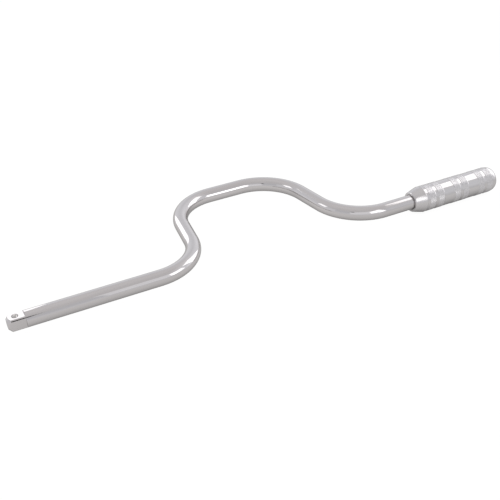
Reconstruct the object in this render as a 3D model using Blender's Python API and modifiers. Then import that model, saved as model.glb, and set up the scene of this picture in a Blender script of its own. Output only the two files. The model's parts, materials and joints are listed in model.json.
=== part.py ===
"""Speed brace: a cranked round bar with a spring-ball drive square and a free-spinning turned grip.

Units are metres and +Z is up. The origin is the middle of the drive square's end face. +X runs
along the turning axis towards the grip, the crank bows out to +Y, and the ball looks out to +Z.
"""

import math

import bmesh
import bpy
from mathutils import Matrix, Vector

MM = 0.001
NAME = "speed_brace"

# Crank bar, bent from one round bar
BAR_DIAMETER = 12.0 * MM
SHANK_LENGTH = 108.9 * MM
BEND_RADIUS = 40.5 * MM
BEND_ANGLE = math.radians(81.8)
LEG_STRAIGHT = 24.5 * MM
THROW_STRAIGHT = 29.0 * MM
NECK_LENGTH = 25.7 * MM

# Drive square, milled from the end of the bar, which leaves its corners round
DRIVE_ACROSS_FLATS = 9.5 * MM
DRIVE_LENGTH = 12.0 * MM
DRIVE_STEP_FILLET = 0.5 * MM
DRIVE_END_CHAMFER = 1.0 * MM

# Spring ball in the upper flat of the square, held in by a staked lip
BALL_DIAMETER = 4.2 * MM
BALL_STANDS_OUT = 1.0 * MM
BALL_FROM_END = 5.8 * MM
BALL_HOLE_CLEARANCE = 0.2 * MM
BALL_HOLE_FLOOR = 2.4 * MM
LIP_CLEARANCE = 0.08 * MM
LIP_THICKNESS = 0.35 * MM
STAKE_WIDTH = 0.5 * MM
STAKE_DEPTH = 0.2 * MM
SPRING_WIRE = 0.5 * MM
SPRING_COILS = 4
SPRING_END_GAP = 0.15 * MM

# Grip: a turned sleeve with a conical nose and pairs of raised bands for the knurl
GRIP_WALL = 4.0 * MM
MOUTH_WALL = 1.5 * MM
NOSE_LENGTH = 9.8 * MM
NOSE_CROWN = 0.1 * MM
NOSE_LAND = 2.7 * MM
BAND_PAIRS = 3
BAND_WIDTH = 6.7 * MM
BAND_RISE = 0.18 * MM
BAND_CHAMFER = 0.5 * MM
GROOVE_WIDTH = 2.1 * MM
SMOOTH_WIDTH = 10.5 * MM
RIM_LAND = 0.1 * MM
RIM_LENGTH = 5.0 * MM
RIM_WALL = 0.55 * MM
EDGE_BREAK = 0.25 * MM

# What carries the grip on the bar
BUSH_WALL = 0.6 * MM
BUSH_LENGTH = 12.0 * MM
BUSH_RECESS = 5.0 * MM
WASHER_THICKNESS = 1.0 * MM
RING_THICKNESS = 1.0 * MM
RING_BITE = 0.5 * MM
RING_HEIGHT = 1.1 * MM
RING_OPENING = math.radians(48)
RING_LUG_RADIUS = 1.0 * MM
RING_LUG_HOLE = 0.9 * MM
BAR_PAST_RING = 3.0 * MM
BAR_END_CHAMFER = 0.6 * MM
PAD_THICKNESS = 2.5 * MM
PAD_POCKET_DEPTH = 1.0 * MM
PAD_MARGIN = 0.4 * MM
CAP_LENGTH = 6.0 * MM
CAP_RECESS = 0.3 * MM

# Clearances
RUN_CLEARANCE = 0.1 * MM
FIT_GAP = 0.1 * MM
SEAT_GAP = 0.3 * MM

# Fineness of the round shapes
BAR_SIDES = 32
BEND_STEPS = 12
TURN_STEPS = 48
SMALL_STEPS = 24
SPRING_POINTS = 10
SMOOTH_ANGLE = math.radians(35)

# Worked out from the sizes above
BAR_RADIUS = BAR_DIAMETER / 2
GRIP_START = (
    SHANK_LENGTH
    + 4 * BEND_RADIUS * math.sin(BEND_ANGLE)
    + 2 * LEG_STRAIGHT * math.cos(BEND_ANGLE)
    + THROW_STRAIGHT
    + NECK_LENGTH
)
BAND_PAIR = 2 * BAND_WIDTH + GROOVE_WIDTH
FIRST_BAND = NOSE_LENGTH + NOSE_LAND
PAIR_PITCH = BAND_PAIR + SMOOTH_WIDTH
GRIP_LENGTH = FIRST_BAND + BAND_PAIRS * PAIR_PITCH - SMOOTH_WIDTH + RIM_LAND + RIM_LENGTH
BORE_RADIUS = BAR_RADIUS + RUN_CLEARANCE + BUSH_WALL + FIT_GAP
GRIP_RADIUS = BORE_RADIUS + GRIP_WALL
RING_INNER = BAR_RADIUS - RING_BITE + FIT_GAP
COUNTERBORE_RADIUS = RING_INNER + 2 * RING_LUG_RADIUS + SEAT_GAP
COUNTERBORE_DEPTH = (
    WASHER_THICKNESS
    + RING_THICKNESS
    + 2 * FIT_GAP
    + BAR_PAST_RING
    + PAD_THICKNESS
    - PAD_POCKET_DEPTH
    + CAP_LENGTH
    + CAP_RECESS
    + 4 * SEAT_GAP
)
SHOULDER_X = GRIP_START + GRIP_LENGTH - COUNTERBORE_DEPTH
WASHER_X = SHOULDER_X + SEAT_GAP
RING_GROOVE_X = WASHER_X + WASHER_THICKNESS + SEAT_GAP
RING_GROOVE_WIDTH = RING_THICKNESS + 2 * FIT_GAP
RING_X = RING_GROOVE_X + FIT_GAP
BAR_END_X = RING_GROOVE_X + RING_GROOVE_WIDTH + BAR_PAST_RING
PAD_X = BAR_END_X + SEAT_GAP
CAP_FRONT_X = PAD_X + PAD_THICKNESS + SEAT_GAP - PAD_POCKET_DEPTH
BALL_Z = DRIVE_ACROSS_FLATS / 2 + BALL_STANDS_OUT - BALL_DIAMETER / 2


def clear_scene():
    for obj in list(bpy.data.objects):
        bpy.data.objects.remove(obj, do_unlink=True)


def make_collection(name):
    collection = bpy.data.collections.new(name)
    bpy.context.scene.collection.children.link(collection)
    return collection


def make_material(name, colour, roughness, metallic):
    material = bpy.data.materials.new(name)
    material.use_nodes = True
    shader = material.node_tree.nodes["Principled BSDF"]
    shader.inputs["Base Color"].default_value = (*colour, 1.0)
    shader.inputs["Roughness"].default_value = roughness
    shader.inputs["Metallic"].default_value = metallic
    return material


def add_object(name, data, collection, material=None, parent=None):
    obj = bpy.data.objects.new(name, data)
    collection.objects.link(obj)
    if material:
        data.materials.append(material)
    if parent:
        obj.parent = parent
    return obj


def shade(obj):
    obj.data.shade_smooth()
    obj.data.set_sharp_from_angle(angle=SMOOTH_ANGLE)


def make_cutter(obj):
    obj.hide_render = True
    obj.display_type = "WIRE"
    return obj


def cut(obj, cutter):
    boolean = obj.modifiers.new("cut_" + cutter.name, "BOOLEAN")
    boolean.operation = "DIFFERENCE"
    boolean.solver = "EXACT"
    boolean.object = cutter


def arc(centre, radius, start, end, steps):
    """Points (along, out) on an arc, both ends included."""
    angles = [start + (end - start) * i / steps for i in range(steps + 1)]
    return [(centre[0] + radius * math.cos(a), centre[1] + radius * math.sin(a)) for a in angles]


def bowed(start, end, rise, steps):
    """Points from start to end on a shallow curve that stands rise above the straight line."""
    return [
        (
            start[0] + (end[0] - start[0]) * t,
            start[1] + (end[1] - start[1]) * t + 4 * rise * t * (1 - t),
        )
        for t in (i / steps for i in range(steps + 1))
    ]


def turned(name, outside, inside, steps, collection, material, parent=None):
    """A shape turned about its local Z. Both outlines hold (z, radius) points in order of rising z.

    The profile runs down the outside and up the inside, or from axis to axis on a solid shape.
    """
    outline = list(reversed(outside)) + list(inside)
    mesh = bpy.data.meshes.new(name)
    shape = bmesh.new()
    points = [shape.verts.new((radius, 0, z)) for z, radius in outline]
    for first, second in zip(points, points[1:]):
        shape.edges.new((first, second))
    if inside:
        shape.edges.new((points[-1], points[0]))
    shape.to_mesh(mesh)
    shape.free()
    obj = add_object(name, mesh, collection, material, parent)
    screw = obj.modifiers.new("turn", "SCREW")
    screw.angle = 2 * math.pi
    screw.steps = steps
    screw.render_steps = steps
    screw.use_merge_vertices = True
    screw.merge_threshold = 1e-6
    screw.use_smooth_shade = True
    return obj


def along_axis(obj, x):
    """Lays a turned shape along the turning axis, its local z = 0 at x."""
    obj.rotation_euler = (0, math.pi / 2, 0)
    obj.location = (x, 0, 0)


def crank_route():
    """The bar's centre line in the XY plane: shank, four equal bends, legs, throw and neck."""
    points = [Vector((0, 0)), Vector((2 * DRIVE_LENGTH, 0))]
    heading = 0.0
    runs = (SHANK_LENGTH - 2 * DRIVE_LENGTH, LEG_STRAIGHT, THROW_STRAIGHT, LEG_STRAIGHT)
    turns = (BEND_ANGLE, -BEND_ANGLE, -BEND_ANGLE, BEND_ANGLE)
    for run, turn in zip(runs, turns):
        start = points[-1] + run * Vector((math.cos(heading), math.sin(heading)))
        side = math.copysign(1, turn)
        middle = start + side * BEND_RADIUS * Vector((-math.sin(heading), math.cos(heading)))
        for i in range(BEND_STEPS + 1):
            at = heading + turn * i / BEND_STEPS
            points.append(middle + side * BEND_RADIUS * Vector((math.sin(at), -math.cos(at))))
        heading += turn
    points.append(Vector((BAR_END_X, 0)))
    return points


def round_bar(name, route, collection, material):
    """A round bar swept along the route, as a closed mesh."""
    curve = bpy.data.curves.new(name, "CURVE")
    curve.dimensions = "3D"
    curve.twist_mode = "Z_UP"
    curve.bevel_depth = BAR_RADIUS
    curve.bevel_resolution = BAR_SIDES // 2 - 2
    curve.use_fill_caps = True
    spline = curve.splines.new("POLY")
    spline.points.add(len(route) - 1)
    for point, place in zip(spline.points, route):
        point.co = (place.x, place.y, 0, 1)
    guide = bpy.data.objects.new(name + "_curve", curve)
    collection.objects.link(guide)
    bpy.context.view_layer.update()
    mesh = bpy.data.meshes.new_from_object(guide.evaluated_get(bpy.context.evaluated_depsgraph_get()))
    mesh.name = name
    weld = bmesh.new()
    weld.from_mesh(mesh)
    bmesh.ops.remove_doubles(weld, verts=weld.verts, dist=1e-6)
    bmesh.ops.recalc_face_normals(weld, faces=weld.faces)
    weld.to_mesh(mesh)
    weld.free()
    obj = add_object(name, mesh, collection, material)
    obj.matrix_world = guide.matrix_world
    bpy.data.objects.remove(guide, do_unlink=True)
    return obj


def flat_cutter(index, collection):
    """Mills one flat of the drive square: a block with a rounded edge where the flat meets the bar."""
    depth = BAR_RADIUS
    mesh = bpy.data.meshes.new(f"flat_cutter_{index}")
    block = bmesh.new()
    bmesh.ops.create_cube(block, size=1)
    reach = DRIVE_LENGTH + 2 * depth
    size = Matrix.Diagonal((reach, 4 * BAR_RADIUS, depth, 1))
    place = Matrix.Translation((DRIVE_LENGTH - reach / 2, 0, DRIVE_ACROSS_FLATS / 2 + depth / 2))
    bmesh.ops.transform(block, matrix=place @ size, verts=block.verts)
    inner = [
        edge
        for edge in block.edges
        if all(
            abs(vert.co.x - DRIVE_LENGTH) < FIT_GAP and vert.co.z < DRIVE_ACROSS_FLATS / 2 + FIT_GAP
            for vert in edge.verts
        )
    ]
    bmesh.ops.bevel(
        block, geom=inner, offset=DRIVE_STEP_FILLET, segments=3, profile=0.5, affect="EDGES"
    )
    turn = Matrix.Rotation(index * math.pi / 2, 4, "X")
    bmesh.ops.transform(block, matrix=turn, verts=block.verts)
    block.to_mesh(mesh)
    block.free()
    return make_cutter(add_object(mesh.name, mesh, collection))


def end_chamfer_cutter(collection):
    """Turns the 45 degree chamfer on the square's end, which cuts furthest back at its corners."""
    inner = DRIVE_ACROSS_FLATS / 2 - DRIVE_END_CHAMFER
    clear = 2 * BAR_RADIUS
    inside = [(-clear, inner), (0, inner), (clear - inner, clear)]
    cutter = turned("end_chamfer_cutter", [(-clear, clear)], inside, TURN_STEPS, collection, None)
    along_axis(cutter, 0)
    return make_cutter(cutter)


def ball_hole_cutter(collection):
    """The blind hole for spring and ball, drawn in to a staked lip under a shallow stake ring."""
    top = DRIVE_ACROSS_FLATS / 2
    hole = BALL_DIAMETER / 2 + BALL_HOLE_CLEARANCE
    lip_top = top - STAKE_DEPTH

    def ball_edge(z):
        return math.sqrt((BALL_DIAMETER / 2) ** 2 - (z - BALL_Z) ** 2) + LIP_CLEARANCE

    outline = [
        (-BALL_HOLE_FLOOR, 0),
        (-BALL_HOLE_FLOOR, hole),
        (lip_top - LIP_THICKNESS - BALL_HOLE_CLEARANCE, hole),
        (lip_top - LIP_THICKNESS, ball_edge(lip_top - LIP_THICKNESS)),
        (lip_top, ball_edge(lip_top)),
        (top, ball_edge(lip_top) + STAKE_WIDTH),
        (top + BALL_DIAMETER, ball_edge(lip_top) + STAKE_WIDTH),
        (top + BALL_DIAMETER, 0),
    ]
    cutter = turned("ball_hole_cutter", outline, [], SMALL_STEPS, collection, None)
    cutter.location = (BALL_FROM_END, 0, 0)
    return make_cutter(cutter)


def ring_groove_cutter(collection):
    """The groove that the retaining ring snaps into."""
    floor = BAR_RADIUS - RING_BITE
    outer = 2 * BAR_RADIUS
    outside = [(0, outer), (RING_GROOVE_WIDTH, outer)]
    inside = [(0, floor), (RING_GROOVE_WIDTH, floor)]
    cutter = turned("ring_groove_cutter", outside, inside, TURN_STEPS, collection, None)
    along_axis(cutter, RING_GROOVE_X)
    return make_cutter(cutter)


def bar_end_cutter(collection):
    """Turns the chamfer on the end of the bar inside the grip."""
    inner = BAR_RADIUS - BAR_END_CHAMFER
    outside = [(-BAR_END_CHAMFER, 2 * BAR_RADIUS), (BAR_END_CHAMFER, 2 * BAR_RADIUS)]
    inside = [
        (-BAR_END_CHAMFER, BAR_RADIUS + FIT_GAP / 10),
        (0, inner),
        (BAR_END_CHAMFER, inner),
    ]
    cutter = turned("bar_end_cutter", outside, inside, TURN_STEPS, collection, None)
    along_axis(cutter, BAR_END_X)
    return make_cutter(cutter)


def crank_bar(parts, cutters, material):
    bar = round_bar("crank_bar", crank_route(), parts, material)
    tools = [flat_cutter(i, cutters) for i in range(4)]
    tools += [end_chamfer_cutter(cutters), ball_hole_cutter(cutters)]
    tools += [ring_groove_cutter(cutters), bar_end_cutter(cutters)]
    for tool in tools:
        cut(bar, tool)
    shade(bar)
    return bar


def detent_ball(parts, material):
    """The ball, under an empty on the axis that it slides along."""
    slide = bpy.data.objects.new("ball_slide", None)
    slide.location = (BALL_FROM_END, 0, BALL_Z)
    parts.objects.link(slide)
    mesh = bpy.data.meshes.new("detent_ball")
    shape = bmesh.new()
    bmesh.ops.create_uvsphere(
        shape, u_segments=SMALL_STEPS, v_segments=SMALL_STEPS // 2, radius=BALL_DIAMETER / 2
    )
    shape.to_mesh(mesh)
    shape.free()
    ball = add_object("detent_ball", mesh, parts, material, slide)
    ball.data.shade_smooth()
    return ball


def detent_spring(parts, material):
    """The coil spring between the floor of the hole and the ball."""
    radius = BALL_DIAMETER / 2 - SPRING_WIRE
    floor = -BALL_HOLE_FLOOR + SPRING_END_GAP + SPRING_WIRE / 2
    seat = BALL_Z - math.sqrt((BALL_DIAMETER / 2) ** 2 - radius**2)
    top = seat - SPRING_END_GAP - SPRING_WIRE
    curve = bpy.data.curves.new("detent_spring", "CURVE")
    curve.dimensions = "3D"
    curve.bevel_depth = SPRING_WIRE / 2
    curve.bevel_resolution = 1
    curve.use_fill_caps = True
    spline = curve.splines.new("POLY")
    count = SPRING_COILS * SPRING_POINTS
    spline.points.add(count)
    for i, point in enumerate(spline.points):
        angle = 2 * math.pi * i / SPRING_POINTS
        rise = floor + (top - floor) * i / count
        point.co = (radius * math.cos(angle), radius * math.sin(angle), rise, 1)
    spring = add_object("detent_spring", curve, parts, material)
    spring.location = (BALL_FROM_END, 0, 0)
    return spring


def grip_outside():
    """The sleeve's outer outline, as (distance from its mouth, radius)."""
    full = GRIP_RADIUS
    smooth = full - BAND_RISE
    mouth = BORE_RADIUS + MOUTH_WALL
    rim_drop = smooth - COUNTERBORE_RADIUS - RIM_WALL
    outline = [(0, mouth - EDGE_BREAK)]
    outline += bowed((EDGE_BREAK, mouth), (NOSE_LENGTH, full), NOSE_CROWN, 5)
    outline.append((NOSE_LENGTH + BAND_RISE, smooth))
    for pair in range(BAND_PAIRS):
        first = FIRST_BAND + pair * PAIR_PITCH
        for start in (first, first + BAND_WIDTH + GROOVE_WIDTH):
            end = start + BAND_WIDTH
            outline += [(start, smooth), (start + BAND_CHAMFER, full)]
            outline += [(end - BAND_CHAMFER, full), (end, smooth)]
    for i in range(6):
        lean = math.pi / 2 * i / 5
        out = smooth - rim_drop * (1 - math.cos(lean))
        outline.append((GRIP_LENGTH - RIM_LENGTH * (1 - math.sin(lean)), out))
    return outline


def grip_sleeve(parts, material, axle):
    step = GRIP_LENGTH - COUNTERBORE_DEPTH
    inside = [
        (0, BORE_RADIUS),
        (step, BORE_RADIUS),
        (step, COUNTERBORE_RADIUS),
        (GRIP_LENGTH, COUNTERBORE_RADIUS),
    ]
    return turned("grip_sleeve", grip_outside(), inside, TURN_STEPS, parts, material, axle)


def bush(name, start, parts, material, axle):
    """A plain bush from start, its distance from the sleeve's mouth."""
    inner = BAR_RADIUS + RUN_CLEARANCE
    outer = inner + BUSH_WALL
    chamfer = BUSH_WALL / 3
    outside = [
        (0, outer - chamfer),
        (chamfer, outer),
        (BUSH_LENGTH - chamfer, outer),
        (BUSH_LENGTH, outer - chamfer),
    ]
    inside = [(0, inner), (BUSH_LENGTH, inner)]
    obj = turned(name, outside, inside, TURN_STEPS, parts, material, axle)
    obj.location = (0, 0, start)
    return obj


def thrust_washer(parts, material):
    """The washer between the sleeve's shoulder and the retaining ring."""
    inner = BAR_RADIUS + RUN_CLEARANCE
    outer = COUNTERBORE_RADIUS - SEAT_GAP
    outside = [(0, outer), (WASHER_THICKNESS, outer)]
    inside = [(0, inner), (WASHER_THICKNESS, inner)]
    washer = turned("thrust_washer", outside, inside, TURN_STEPS, parts, material)
    along_axis(washer, WASHER_X)
    return washer


def retaining_ring(parts, material):
    """The open snap ring in the bar's groove: a flat outline with two pierced lugs."""
    outer = BAR_RADIUS + RING_HEIGHT
    half = RING_OPENING / 2
    curve = bpy.data.curves.new("retaining_ring", "CURVE")
    curve.dimensions = "2D"
    curve.fill_mode = "BOTH"
    curve.extrude = RING_THICKNESS / 2
    lug_place = RING_INNER + RING_LUG_RADIUS
    outline = arc((0, 0), outer, half, 2 * math.pi - half, TURN_STEPS)
    for end, facing in ((-half, -1), (half, 1)):
        lug = (lug_place * math.cos(end), lug_place * math.sin(end))
        tip = arc(lug, RING_LUG_RADIUS, end, end - facing * math.pi, SMALL_STEPS // 3)
        outline += tip if facing < 0 else list(reversed(tip))
        if facing < 0:
            outline += arc((0, 0), RING_INNER, 2 * math.pi - half, half, TURN_STEPS)[1:-1]
    splines = [outline]
    for end in (-half, half):
        lug = (lug_place * math.cos(end), lug_place * math.sin(end))
        splines.append(arc(lug, RING_LUG_HOLE / 2, 0, 2 * math.pi, SMALL_STEPS // 2)[:-1])
    for points in splines:
        spline = curve.splines.new("POLY")
        spline.points.add(len(points) - 1)
        spline.use_cyclic_u = True
        for point, (x, y) in zip(spline.points, points):
            point.co = (x, y, 0, 1)
    ring = add_object("retaining_ring", curve, parts, material)
    along_axis(ring, RING_X + RING_THICKNESS / 2)
    return ring


def thrust_pad(parts, material, axle):
    """The disc between the end of the bar and the cap, which takes the push of the palm."""
    radius = BAR_RADIUS - PAD_MARGIN
    outline = [
        (0, 0),
        (0, radius - EDGE_BREAK),
        (EDGE_BREAK, radius),
        (PAD_THICKNESS - EDGE_BREAK, radius),
        (PAD_THICKNESS, radius - EDGE_BREAK),
        (PAD_THICKNESS, 0),
    ]
    pad = turned("thrust_pad", outline, [], TURN_STEPS, parts, material, axle)
    pad.location = (0, 0, PAD_X - GRIP_START)
    return pad


def end_cap(parts, material, axle):
    """The plug pressed into the back of the sleeve, with a pocket for the pad."""
    outer = COUNTERBORE_RADIUS - FIT_GAP
    pocket = BAR_RADIUS - PAD_MARGIN + FIT_GAP
    outline = [
        (PAD_POCKET_DEPTH, 0),
        (PAD_POCKET_DEPTH, pocket),
        (0, pocket),
        (0, outer - EDGE_BREAK),
        (EDGE_BREAK, outer),
        (CAP_LENGTH - EDGE_BREAK, outer),
        (CAP_LENGTH, outer - EDGE_BREAK),
        (CAP_LENGTH, 0),
    ]
    cap = turned("end_cap", outline, [], TURN_STEPS, parts, material, axle)
    cap.location = (0, 0, CAP_FRONT_X - GRIP_START)
    return cap


def build():
    clear_scene()
    parts = make_collection(NAME)
    cutters = make_collection("cutters")
    chrome = make_material("chrome", (0.62, 0.62, 0.63), 0.12, 1.0)
    bar_chrome = make_material("bar_chrome", (0.60, 0.60, 0.61), 0.14, 1.0)
    ball_steel = make_material("ball_steel", (0.55, 0.55, 0.56), 0.08, 1.0)
    spring_steel = make_material("spring_steel", (0.35, 0.35, 0.36), 0.3, 1.0)
    ring_steel = make_material("ring_steel", (0.12, 0.12, 0.13), 0.4, 0.9)
    washer_steel = make_material("washer_steel", (0.5, 0.5, 0.5), 0.35, 1.0)
    front_bronze = make_material("front_bronze", (0.55, 0.38, 0.2), 0.4, 1.0)
    rear_bronze = make_material("rear_bronze", (0.55, 0.38, 0.2), 0.4, 1.0)
    pad_plastic = make_material("pad_plastic", (0.8, 0.78, 0.72), 0.5, 0.0)
    cap_chrome = make_material("cap_chrome", (0.6, 0.6, 0.61), 0.16, 1.0)

    crank_bar(parts, cutters, bar_chrome)
    detent_ball(parts, ball_steel)
    detent_spring(parts, spring_steel)

    axle = bpy.data.objects.new("grip_axle", None)
    parts.objects.link(axle)
    along_axis(axle, GRIP_START)
    grip_sleeve(parts, chrome, axle)
    rear_start = GRIP_LENGTH - COUNTERBORE_DEPTH - SEAT_GAP - BUSH_LENGTH
    bush("front_bush", BUSH_RECESS, parts, front_bronze, axle)
    bush("rear_bush", rear_start, parts, rear_bronze, axle)
    thrust_washer(parts, washer_steel)
    retaining_ring(parts, ring_steel)
    thrust_pad(parts, pad_plastic, axle)
    end_cap(parts, cap_chrome, axle)


build()
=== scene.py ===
"""Looks of the speed brace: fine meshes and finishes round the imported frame, in a photo studio.

Lengths are metres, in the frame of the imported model. The origin is the middle of the drive
square's end face, +X runs along the turning axis to the grip, the crank bows out to +Y and the
ball looks up.
"""

import json
import logging
import math
from dataclasses import dataclass
from enum import Enum
from typing import Any

import bmesh
import bpy
from mathutils import Matrix, Vector

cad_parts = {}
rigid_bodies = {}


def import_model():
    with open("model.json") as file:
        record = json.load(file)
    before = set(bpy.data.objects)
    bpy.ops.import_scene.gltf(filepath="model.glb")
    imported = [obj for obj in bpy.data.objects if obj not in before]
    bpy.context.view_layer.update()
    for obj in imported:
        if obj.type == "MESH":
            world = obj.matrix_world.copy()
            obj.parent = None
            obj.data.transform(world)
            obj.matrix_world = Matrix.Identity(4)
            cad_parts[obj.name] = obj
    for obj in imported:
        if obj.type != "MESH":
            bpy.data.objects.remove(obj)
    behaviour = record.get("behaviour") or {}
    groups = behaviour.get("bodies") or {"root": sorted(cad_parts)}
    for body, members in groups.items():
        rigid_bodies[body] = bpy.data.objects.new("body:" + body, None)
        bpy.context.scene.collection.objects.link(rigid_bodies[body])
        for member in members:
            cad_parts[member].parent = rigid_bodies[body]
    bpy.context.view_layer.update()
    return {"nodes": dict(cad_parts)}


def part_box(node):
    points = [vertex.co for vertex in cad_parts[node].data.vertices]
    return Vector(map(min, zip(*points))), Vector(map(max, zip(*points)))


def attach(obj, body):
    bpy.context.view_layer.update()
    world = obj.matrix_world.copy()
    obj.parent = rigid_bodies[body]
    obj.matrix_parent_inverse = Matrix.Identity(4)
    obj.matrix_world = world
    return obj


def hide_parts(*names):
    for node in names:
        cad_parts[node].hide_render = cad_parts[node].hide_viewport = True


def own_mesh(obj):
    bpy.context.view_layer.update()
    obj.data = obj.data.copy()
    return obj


MM = 0.001
LOG = logging.getLogger("speed_brace")
FULL_TURN = 2 * math.pi
MERGE_DISTANCE = 1e-7

Point = tuple[float, float]
Profile = list[Point]
Colour = tuple[float, float, float]


class Body(Enum):
    """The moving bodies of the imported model."""

    CRANK = "crank"
    BALL = "ball"
    GRIP = "grip"


class Grain(Enum):
    """Where the fine lines of a finish run."""

    NONE = "none"
    ALONG_BAR = "along the bar, on its own UV map"
    ROUND_AXIS = "rings round the turning axis"
    LATHE_FACE = "rings on a face square to the turning axis"


# Shader sums

# The Mix node's colour sockets, which share their names with its other kinds of value
MIX_FIRST, MIX_SECOND, MIX_RESULT = 6, 7, 2


class Sum:
    """A number socket of a shader that Python's operators add Math nodes to."""

    def __init__(self, recipe: "Recipe", socket: bpy.types.NodeSocket) -> None:
        """Keeps the recipe that the socket belongs to."""
        self.recipe = recipe
        self.socket = socket

    def _math(self, operation: str, first: Any, second: Any) -> "Sum":
        """Adds one Math node.

        Args:
            operation: the Math node's operation.
            first: its first value, a number or a Sum.
            second: its second value, a number or a Sum.

        Returns:
            The node's result.
        """
        node = self.recipe.node("Math", {"operation": operation}, {0: first, 1: second})
        return Sum(self.recipe, node.outputs[0])

    def __add__(self, other: Any) -> "Sum":
        """This value plus another."""
        return self._math("ADD", self, other)

    __radd__ = __add__

    def __sub__(self, other: Any) -> "Sum":
        """This value less another."""
        return self._math("SUBTRACT", self, other)

    def __rsub__(self, other: Any) -> "Sum":
        """Another value less this one."""
        return self._math("SUBTRACT", other, self)

    def __mul__(self, other: Any) -> "Sum":
        """This value times another."""
        return self._math("MULTIPLY", self, other)

    __rmul__ = __mul__

    def __pow__(self, other: Any) -> "Sum":
        """This value to a power."""
        return self._math("POWER", self, other)


class Recipe:
    """The node tree of one material or of the world."""

    def __init__(self, owner: bpy.types.Material | bpy.types.World) -> None:
        """Empties the owner's node tree.

        Args:
            owner: the material or world that the nodes are for.
        """
        owner.use_nodes = True
        self.tree = owner.node_tree
        self.tree.nodes.clear()

    def node(
        self,
        kind: str,
        settings: dict[str, Any] | None = None,
        inputs: dict[Any, Any] | None = None,
    ) -> bpy.types.Node:
        """Adds a node.

        Args:
            kind: the node's type, without its ShaderNode in front.
            settings: what is set before its sockets; stops are a ramp's (place, colour) pairs.
            inputs: value or link of each socket, by the socket's name or number.

        Returns:
            The new node.
        """
        node = self.tree.nodes.new("ShaderNode" + kind)
        for name, value in (settings or {}).items():
            if name == "stops":
                self._ramp(node, value)
            else:
                setattr(node, name, value)
        for name, value in (inputs or {}).items():
            value = value.socket if isinstance(value, Sum) else value
            if isinstance(value, bpy.types.NodeSocket):
                self.tree.links.new(value, node.inputs[name])
            else:
                node.inputs[name].default_value = value
        return node

    @staticmethod
    def _ramp(node: bpy.types.Node, stops: tuple[tuple[float, Colour], ...]) -> None:
        """Gives a Color Ramp node its stops.

        Args:
            node: the Color Ramp node.
            stops: each stop's place from 0 to 1 and its colour.
        """
        elements = node.color_ramp.elements
        while len(elements) < len(stops):
            elements.new(0.5)
        for element, (place, colour) in zip(elements, stops):
            element.position = place
            element.color = (*colour, 1)

    def sum(self, node: bpy.types.Node, output: int | str = 0) -> Sum:
        """A node's output, ready for sums."""
        return Sum(self, node.outputs[output])

    def noise(self, place: Any, scale: float, detail: float) -> Sum:
        """Noise from 0 to 1.

        Args:
            place: the vector socket that it is read at.
            scale: cells in one unit of that vector.
            detail: octaves.

        Returns:
            The noise value.
        """
        node = self.node("TexNoise", {}, {"Vector": place, "Scale": scale, "Detail": detail})
        return self.sum(node, "Fac")

    def smooth(self, value: Sum, low: float, high: float) -> Sum:
        """A value taken smoothly from 0 at low to 1 at high."""
        inputs = {"Value": value, "From Min": low, "From Max": high}
        return self.sum(self.node("MapRange", {"interpolation_type": "SMOOTHSTEP"}, inputs))

    def fade(self, value: Sum, low: float, high: float) -> Sum:
        """A value taken smoothly from 1 at low to 0 at high."""
        return 1 - self.smooth(value, low, high)

    def axes(self, place: Any) -> tuple[Sum, Sum, Sum]:
        """The x, y and z of a vector socket."""
        parts = self.node("SeparateXYZ", {}, {0: place})
        return self.sum(parts, "X"), self.sum(parts, "Y"), self.sum(parts, "Z")

    def off_axis(self, place: Any) -> Sum:
        """How far a place is from the turning axis."""
        _, across, up = self.axes(place)
        return (across**2 + up**2) ** 0.5

    def shaded(self, colour: Colour, shade: Sum) -> bpy.types.NodeSocket:
        """A colour times a shade of grey, by the Mix node's colour sockets.

        Args:
            colour: the colour.
            shade: what it is multiplied by.

        Returns:
            The link that carries the shaded colour.
        """
        grey = self.node("CombineColor", {}, {0: shade, 1: shade, 2: shade}).outputs[0]
        settings = {"data_type": "RGBA", "blend_type": "MULTIPLY"}
        inputs = {"Factor": 1.0, MIX_FIRST: (*colour, 1), MIX_SECOND: grey}
        return self.node("Mix", settings, inputs).outputs[MIX_RESULT]

    def mirrored(self, path: bpy.types.Node) -> Sum:
        """1 where a Light Path node's ray comes from a reflection or through glass."""
        return self.sum(path, "Is Glossy Ray") + self.sum(path, "Is Transmission Ray")


# Finishes


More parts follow.
